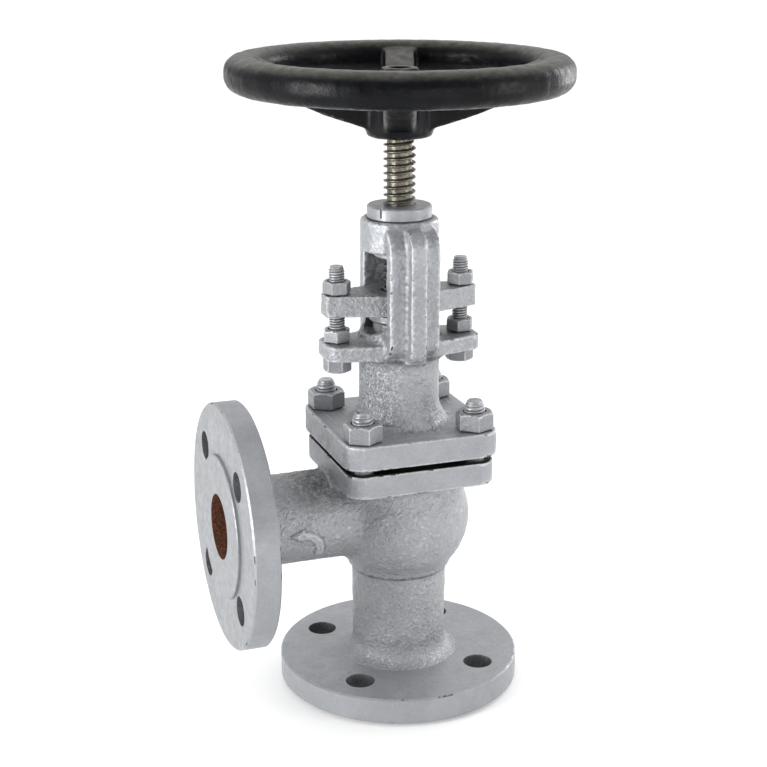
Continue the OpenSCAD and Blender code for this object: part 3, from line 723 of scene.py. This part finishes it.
def cast_body():
    """The body casting between its pipe flanges: filleted and rough as cast, true where it is machined."""
    piece = body_blank()
    mesh = piece.data
    points = read_points(mesh)
    x, y, z = (points / MM).T
    round_z, round_x = radius_about_z(points), radius_about_branch(points)
    inside_inlet = 1 - smoothstep(BORE_R + 0.6, BORE_R + 2.0, round_z)
    inside_outlet = (1 - smoothstep(BORE_R + 0.6, BORE_R + 2.0, round_x)) * (x < -20)
    from_bowl = np.sqrt(round_z ** 2 + (z - BOWL["z"]) ** 2)
    inside_bowl = (from_bowl < BOWL["inside_r"]) | ((round_z < BOWL["mouth_r"]) & (z > BOWL["z"]))
    inside = np.maximum.reduce([inside_inlet, inside_outlet, inside_bowl * 1.0])
    square = (z > BODY_FLANGE_FOOT - 1) & (x > -COVER_HALF - 1.5)
    cast = np.clip(1 - np.maximum(0.8 * square, inside), 0, 1)
    crease = bump_at(z, BAND_Z, 2.2) * (round_x > BRANCH_R + 2)
    relax(mesh, 2, 1.0, 0.5 * everywhere(mesh))
    relax(mesh, 70, 0.12, cast * (1 - 0.9 * crease))
    near_arrow = 1 - smoothstep(14, 18, np.abs(x - ARROW["x"] - 3))
    on_branch = (np.abs(round_x - BRANCH_R) < 2) * (y < -15) * near_arrow
    to_arrow = arrow_distance(x, z)
    raised = on_branch * (1 - smoothstep(-0.4, 0.9, to_arrow))
    raise_arrow(mesh, round_x, raised)
    roughen(mesh, 0.12 + 0.88 * cast * (1 - 0.8 * raised), 0.34, 0.26)
    near_flange = (z < FLANGE_H + 8) | (x < -CENTRE_TO_FACE + FLANGE_H + 8)
    # Painted shade round the edge of the raised arrow.
    round_arrow = 0.55 * on_branch * bump_at(to_arrow, 1.0, 0.6)
    darkening = np.maximum(body_darkening(x, z, round_z, round_x, square), round_arrow)
    measure_relief(mesh, 2, darkening, near_flange)
    left_end = smoothstep(COVER_HALF - 5.5, COVER_HALF - 2.5, -x)
    set_attribute(mesh, "rust", inside)
    set_attribute(mesh, "cast", np.where(square, 0.1 + 0.5 * left_end, 1.0))
    # The face where the body flange meets the bonnet is painted near-black, as shade in the gap.
    set_attribute(mesh, "joint", z > BODY_TOP - 0.4)
    # Brush strokes with painted glints and shade, lightly, below the cover flange.
    set_attribute(mesh, "brushed_and_glinting", 0.2 * bump_at(z, BODY_FLANGE_FOOT - 8, 14) * (1 - square))
    sink_fringes(mesh, x, z, round_z, round_x)
    finish_piece(piece, cast_paint, "root", "silver_paint", "body")


def cast_bonnet():
    """The bonnet and its yoke in one casting. The cover flange is smoother than the neck and the arms."""
    piece = remeshed("bonnet_and_yoke", nodes["bonnet"].data, 0.85)
    mesh = piece.data
    points = read_points(mesh)
    x, y, z = (points / MM).T
    radius = radius_about_z(points)
    in_box = (radius < BOX_ZONE["radius"]) & (z < BOX_ZONE["top"])
    flange = (z < BONNET_FLANGE_TOP + 0.5) * smoothstep(38, 44, np.maximum(abs(x), abs(y)))
    cast = np.clip(1 - np.maximum(in_box, 0.75 * flange), 0, 1)
    relax(mesh, 2, 1.0, 0.5 * everywhere(mesh))
    relax(mesh, 34, 0.14, cast)
    roughen(mesh, 0.12 + 0.88 * cast, 0.30, 0.20)
    # The inside of the yoke's opening is darkened strongly, and the arms below the collar are dirtied
    # lightly.
    in_opening = (radius < OPENING_ZONE["radius"]) & (np.abs(y) < OPENING_ZONE["half_y"])
    in_opening &= (z > OPENING_ZONE["foot"]) & (z < OPENING_ZONE["top"])
    yoke = z > LUG_FOOT
    measure_relief(mesh, 2, np.maximum(0.85 * in_opening, 0.32 * yoke * (z < ARM_DIRT_TOP)))
    neck = (z > BONNET_FLANGE_TOP + 3) * (z < BOX_ZONE["top"]) * (1 - 0.6 * (z > LUG_FOOT - 2))
    left_of_neck = neck * (1 - smoothstep(-20, 2, x))
    left_end = smoothstep(COVER_HALF - 4.5, COVER_HALF - 1.5, -x)
    rough = np.maximum(0.75 - 0.4 * yoke, left_of_neck)
    crevice = bump_at(radius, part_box("yoke_bush")[1].x / MM + 0.2, 0.8) * (z > high_z("bonnet") - 1.5)
    # Brush strokes with painted glints and shade, strongest on the lit left of the neck.
    set_attribute(mesh, "brushed_and_glinting", left_of_neck + 0.12 * yoke)
    set_attribute(mesh, "cast", np.where(flange > 0.5, 0.1 + 0.5 * left_end, rough))
    # The bonnet flange's mating face and the crevice round the yoke bush are painted near-black, as shade.
    set_attribute(mesh, "joint", np.maximum(z < BONNET_FOOT + 0.4, 0.8 * crevice))
    finish_piece(piece, cast_paint, "root", "silver_paint", "bonnet")


def cast_gland_flange():
    """The bar across the yoke, dirty round the stem, with painted shade on its left half."""
    piece = remeshed("gland_bar", nodes["gland_flange"].data, 0.6)
    mesh = piece.data
    relax(mesh, 14, 0.45, everywhere(mesh))
    roughen(mesh, everywhere(mesh), 0.34, 0.2)
    points = read_points(mesh)
    near_stem = 1 - smoothstep(13, 24, radius_about_z(points))
    # Painted shade on the bar's left half, and dirt round the stem.
    measure_relief(mesh, 2, 0.35 * (points[:, 0] < 0) + 0.25 * near_stem)
    set_attribute(mesh, "cast", 0.75 * everywhere(mesh))
    # Brush strokes with painted glints and shade, lightly.
    set_attribute(mesh, "brushed_and_glinting", 0.15 * everywhere(mesh))
    finish_piece(piece, cast_paint, "gland", "silver_paint", "gland_flange")


def true_rim(mesh, rim):
    """Puts points that are close to the handwheel rim's outline exactly on it."""
    points = read_points(mesh)
    radius = radius_about_z(points)
    away = np.stack([radius - rim["radius"], points[:, 2] / MM - rim["z"]], 1)
    core = np.array([rim["width"] / 2, rim["height"] / 2]) - rim["corner"]
    beyond = np.sign(away) * np.maximum(np.abs(away) - core, 0)
    length = np.maximum(np.linalg.norm(beyond, axis=1), 1e-9)
    shift = -beyond / length[:, None] * (length - rim["corner"])[:, None]
    shift *= (1 - smoothstep(0.2, 0.7, np.abs(length - rim["corner"])))[:, None]
    points[:, :2] *= ((radius + shift[:, 0]) / np.maximum(radius, 1e-9))[:, None]
    points[:, 2] += shift[:, 1] * MM
    write_points(mesh, points)


def cast_handwheel():
    """The handwheel with soft fillets at its spokes, and its rim true."""
    piece = remeshed("cast_handwheel", nodes["handwheel"].data, 0.95)
    mesh = piece.data
    relax(mesh, 30, 0.35, everywhere(mesh))
    true_rim(mesh, WHEEL_RIM)
    roughen(mesh, everywhere(mesh), 0.22, 0.08)
    measure_relief(mesh, 2)
    finish_piece(piece, enamel, "stem", "black_enamel", "handwheel")


def painted_nut(name, node, body, material, slot, middles, bore_r):
    """A nut with worn corners, painted shade in its bore, and a thin gap at its foot, where the paint has
    cracked, with painted shade in it.
    """
    piece = remeshed(name, nodes[node].data, 0.4)
    mesh = piece.data
    relax(mesh, 3, 1.0, 0.6 * everywhere(mesh))
    roughen(mesh, everywhere(mesh), 0.10, 0.06)
    measure_relief(mesh, 1)
    points = read_points(mesh)
    gap = 1 - smoothstep(0.3, 0.7, points[:, 2] / MM - low_z(node))
    middles = np.array(middles) * MM
    nearest = np.linalg.norm(points[:, None, :2] - middles[None], axis=2).argmin(1)
    out = points[:, :2] - middles[nearest]
    far = np.linalg.norm(out, axis=1)[:, None]
    points[:, :2] -= out / far * 0.55 * MM * gap[:, None] * (far > (bore_r + 1.5) * MM)
    write_points(mesh, points)
    set_attribute(mesh, "joint", np.maximum(far[:, 0] < (bore_r + 0.85) * MM, 0.8 * gap))
    finish_piece(piece, material, body, slot, node)


# ---------- screw threads ----------

def thread_depth(phase, crest, flank):
    """0 at a crest and 1 at a root, for a phase counted in pitches from the crest's middle."""
    away = np.abs((phase + 0.5) % 1.0 - 0.5)
    return smoothstep(crest / 2, crest / 2 + flank, away)


def threaded_rows(radius, depth, pitch, foot, top, per_pitch, crest, flank, offset=0.0):
    """Lathe rows of a right-hand thread from foot to top, run out over the last turn at each end. per_pitch
    is the number of rows to a pitch, and crest and flank are widths as parts of a pitch."""
    rows = []
    count = int((top - foot) / pitch * per_pitch)
    for i in range(count + 1):
        z = foot + (top - foot) * i / count
        grown = min(1.0, (z - foot) / pitch, (top - z) / pitch)

        def outline(angles, z=z, grown=grown):
            phase = (z - offset) / pitch - angles / (2 * np.pi)
            return radius - depth * (1 - grown * (1 - thread_depth(phase, crest, flank)))

        rows.append((z, outline))
    return rows


def screw_mesh(screw):
    """A stud or bolt shank: plain at its foot, and threaded up to its tapered tip."""
    radius, tip, top, thread_from = screw["radius"], screw["tip"], screw["top"], screw["thread_from"]
    depth = 0.6 * screw["pitch"]
    rows = [(screw["foot"], radius - depth), (screw["foot"] + 0.8, radius),
            (thread_from - 1, radius), (thread_from - 0.9, radius - depth)]
    for z, outline in threaded_rows(radius, depth, screw["pitch"], thread_from, top - 0.9, 12, 0.28, 0.30):
        cone = tip + (radius - tip) * (top - z) / screw["taper"]

        def tapered(angles, outline=outline, cone=cone):
            over = np.maximum(outline(angles) - cone, 0)
            return outline(angles) - 0.85 * over

        rows.append((z, tapered))
    rows += [(top - 0.5, 0.99 * tip), (top - 0.15, 0.93 * tip), (top, 0.8 * tip), (top, 0.1)]
    return lathe(rows, 48)


def bonnet_studs():
    piece = joined("threaded_studs", [moved(screw_mesh(STUD), (x, y, 0)) for x, y in STUD_PLACES])
    shade(piece, 50)
    measure_relief(piece.data, 1)
    finish_piece(piece, fastener_paint, "root", "painted_fastener", "bonnet_studs")


def bolt_head_mesh(head):
    """A hexagonal bolt head whose lower end is chamfered at 30 degrees."""
    half = head["flats"] / 2
    corner_r = half / math.cos(math.pi / 6)
    face_r = 0.95 * half
    bevel_h = (corner_r - face_r) * math.tan(math.pi / 6)

    def outline(limit):
        def radius(angles):
            turned = (angles - math.radians(head["turn"])) % (math.pi / 3) - math.pi / 6
            return np.minimum(half / np.cos(turned), limit)
        return radius

    steps = 10
    rows = [(head["foot"] + bevel_h * i / steps, outline(face_r + (corner_r - face_r) * i / steps))
            for i in range(steps + 1)]
    return lathe(rows + [(head["top"], outline(corner_r))], 120)


def gland_bolts():
    meshes = []
    for x, y in GLAND_PLACES:
        blank = remeshed("bolt_head_blank", bolt_head_mesh(GLAND_HEAD), 0.4)
        relax(blank.data, 4, 1.0, 0.6 * everywhere(blank.data))
        meshes.append(moved(blank.data.copy(), (x, y, 0)))
        bpy.data.objects.remove(blank)
        meshes.append(moved(screw_mesh(GLAND_BOLT), (x, y, 0)))
    piece = joined("threaded_gland_bolts", meshes)
    shade(piece, 50)
    z = read_points(piece.data)[:, 2] / MM
    # The threads between the nuts are darkened.
    measure_relief(piece.data, 1, 0.8 * bump_at(z, GLAND_BOLT["darkened_z"], 5))
    finish_piece(piece, fastener_paint, "root", "painted_fastener", "gland_bolts")


def square_outline(half, turn):
    """A square with its corners cut off, as a radius for each angle."""
    def radius(angles):
        turned = (angles - math.radians(turn) + math.pi / 4) % (math.pi / 2) - math.pi / 4
        return np.minimum(half / np.cos(turned), 1.36 * half)
    return radius


def turned_stem():
    """The whole stem as one lathe: head, backseat cone, shank, trapezoid thread, square and threaded end."""
    head_z, end_z = low_z("stem"), high_z("stem")
    hub_z, washer_z = low_z("handwheel"), low_z("wheel_washer")
    head_top = head_z + STEM["head_h"]
    thread = STEM_THREAD
    shank, pitch, foot, top = thread["radius"], thread["pitch"], thread["foot"], thread["top"]
    cone_z = low_z("backseat_bush") + 0.2 - 4 * pitch
    crest_z = foot + thread["start"] * pitch
    rows = [(head_z, STEM["head_r"] - 3), (head_z + 1.5, STEM["head_r"]), (head_top, STEM["head_r"]),
            (head_top, STEM["neck_r"]), (STEM["collar_z"] - 1, STEM["neck_r"]),
            (STEM["collar_z"], STEM["collar_r"]), (cone_z, STEM["collar_r"]), (cone_z + 2, shank),
            (foot - 0.6, shank), (foot, shank - 0.6), (foot, thread["root"])]
    rows += threaded_rows(shank, shank - thread["root"], pitch, foot + 0.3, top, 24, 0.12, 0.20, crest_z)
    rows += [(top, thread["root"]), (top, shank - 0.3), (top + 0.3, shank), (hub_z, shank)]
    square = square_outline(STEM["square_half"], WHEEL_SPOKE_ANGLE)
    rows += [(hub_z, square), (washer_z - 2, square), (washer_z - 2, STUD["radius"]),
             (washer_z + 1, STUD["radius"])]
    rows += threaded_rows(STUD["radius"], STEM["end_thread_depth"], STUD["pitch"], washer_z + 1, end_z - 1,
                          10, 0.3, 0.34)
    rows += [(end_z - 1, STEM["end_r"]), (end_z, STEM["tip"]), (end_z, 0.1)]
    mesh = lathe(rows, 96)
    piece = new_object("turned_stem", mesh)
    shade(piece, 38)
    points = read_points(mesh)
    z = points[:, 2] / MM
    on_thread = (z > foot - 0.1) & (z < top + 0.1)
    phase = (z - crest_z) / pitch - np.arctan2(points[:, 1], points[:, 0]) / (2 * np.pi)
    # The painted shadow lies just under each crest.
    under_crest = bump_at((phase + 0.5) % 1.0 - 0.5, -0.17, 0.1)
    set_attribute(mesh, "root", np.where(on_thread, under_crest, 0.0))
    finish_piece(piece, stem_metal, "stem", "stem_steel", "stem")


# ---------- carried-over CAD pieces ----------

def dress(node, material):
    piece = nodes[node]
    piece.data.materials.clear()
    piece.data.materials.append(material)


def squash_packing():
    """Gives each packing ring a mesh of its own."""
    for i in range(1, 6):
        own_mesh(nodes[f"packing_ring_{i}"])


pipe_flange("inlet_flange", np.array([0, 0, 0]), 2)
pipe_flange("outlet_flange", np.array([-CENTRE_TO_FACE, 0, CENTRE_TO_FACE]), 0)
cast_body()
cast_bonnet()
cast_gland_flange()
cast_handwheel()
turned_stem()
bonnet_studs()
gland_bolts()
painted_nut("stud_nuts", "bonnet_nuts", "root", fastener_paint, "painted_fastener", STUD_PLACES,
            STUD["radius"])
for nut_name, nut_node, nut_body in (("lock_nuts", "gland_lock_nuts", "root"),
                                     ("gland_nut_l", "gland_nut_left", "gland_nut_left"),
                                     ("gland_nut_r", "gland_nut_right", "gland_nut_right")):
    painted_nut(nut_name, nut_node, nut_body, fastener_paint, "painted_fastener", GLAND_PLACES,
                GLAND_BOLT["radius"])
painted_nut("handwheel_nut", "wheel_nut", "stem", enamel, "black_enamel", [(0.0, 0.0)], STUD["radius"])
for trim_node in ("seat_ring", "disc", "disc_nut", "disc_lock_pin", "backseat_bush"):
    dress(trim_node, trim_metal)
for soft_node in ("bonnet_gasket", *(f"packing_ring_{i}" for i in range(1, 6))):
    dress(soft_node, packing_graphite)
squash_packing()
dress("gland_follower", fastener_paint)
dress("yoke_bush", turned_paint)
dress("bush_lock_screw", fastener_paint)
dress("wheel_washer", fastener_paint)


# ---------- floor, light and camera ----------

def floor():
    """A wide white floor that glows faintly, which keeps the valve's shadow on it light."""
    size = 60.0
    corners = [(-size, -size, 0), (size, -size, 0), (size, size, 0), (-size, size, 0)]
    mesh = bpy.data.meshes.new("floor")
    mesh.from_pydata(corners, [], [(0, 1, 2, 3)])
    ground = new_object("floor", mesh)
    material, _, shader = new_material("pale_floor")
    shader.inputs["Base Color"].default_value = grey(0.8)
    shader.inputs["Roughness"].default_value = 0.75
    shader.inputs["Emission Color"].default_value = grey(1.0)
    shader.inputs["Emission Strength"].default_value = 0.25
    mesh.materials.append(material)


def softbox(name, place, target, width, height, power):
    lamp = bpy.data.lights.new(name, "AREA")
    lamp.shape = "RECTANGLE"
    lamp.size, lamp.size_y, lamp.energy = width, height, power
    holder = bpy.data.objects.new(name, lamp)
    holder.location = place
    holder.rotation_euler = (Vector(target) - Vector(place)).to_track_quat("-Z", "Y").to_euler()
    collection.objects.link(holder)


def studio_world():
    """A white light tent that is brightest overhead and dark behind the camera."""
    world = bpy.data.worlds.new("studio")
    world.use_nodes = True
    tree = world.node_tree
    background = tree.nodes["Background"]
    direction = tree.nodes.new("ShaderNodeTexCoord").outputs["Generated"]
    toward_camera = tree.nodes.new("ShaderNodeVectorMath")
    toward_camera.operation = "DOT_PRODUCT"
    tree.links.new(direction, toward_camera.inputs[0])
    toward_camera.inputs[1].default_value = (-0.33, -0.92, 0.2)
    overhead = levels(tree, height_of(tree, direction), 0.1, 0.6, 0.66, 1.27)
    darkness = levels(tree, toward_camera.outputs["Value"], 0.25, 0.95, 1.0, 0.2)
    feed(tree, background.inputs["Strength"], times(tree, overhead, darkness))
    background.inputs["Color"].default_value = grey(1.0)
    bpy.context.scene.world = world


def studio_light():
    middle = (0, 0, 0.2)
    softbox("left_softbox", (-1.5, -0.36, 0.42), middle, 0.5, 0.8, 19)
    softbox("right_softbox", (1.15, -0.9, 0.42), middle, 0.4, 0.8, 5.5)
    softbox("back_softbox", (1.35, 0.62, 0.5), middle, 0.4, 0.8, 7)
    softbox("front_fill", (0.05, -1.7, 0.25), middle, 1.0, 0.5, 3.0)


def camera():
    """A long lens, placed and turned as the fit to the photo says."""
    lens = bpy.data.cameras.new("camera")
    lens.sensor_width = 36.0
    lens.lens = 75.4
    holder = bpy.data.objects.new("camera", lens)
    holder.location = (-0.32254, -0.88018, 0.48279)
    azimuth, pitch = math.radians(-19.55), math.radians(17.16)
    level = math.cos(pitch)
    forward = Vector((-math.sin(azimuth) * level, math.cos(azimuth) * level, -math.sin(pitch)))
    holder.rotation_euler = forward.to_track_quat("-Z", "Y").to_euler()
    collection.objects.link(holder)
    bpy.context.scene.camera = holder


floor()
studio_world()
studio_light()
camera()
bpy.context.scene.view_settings.view_transform = "Standard"
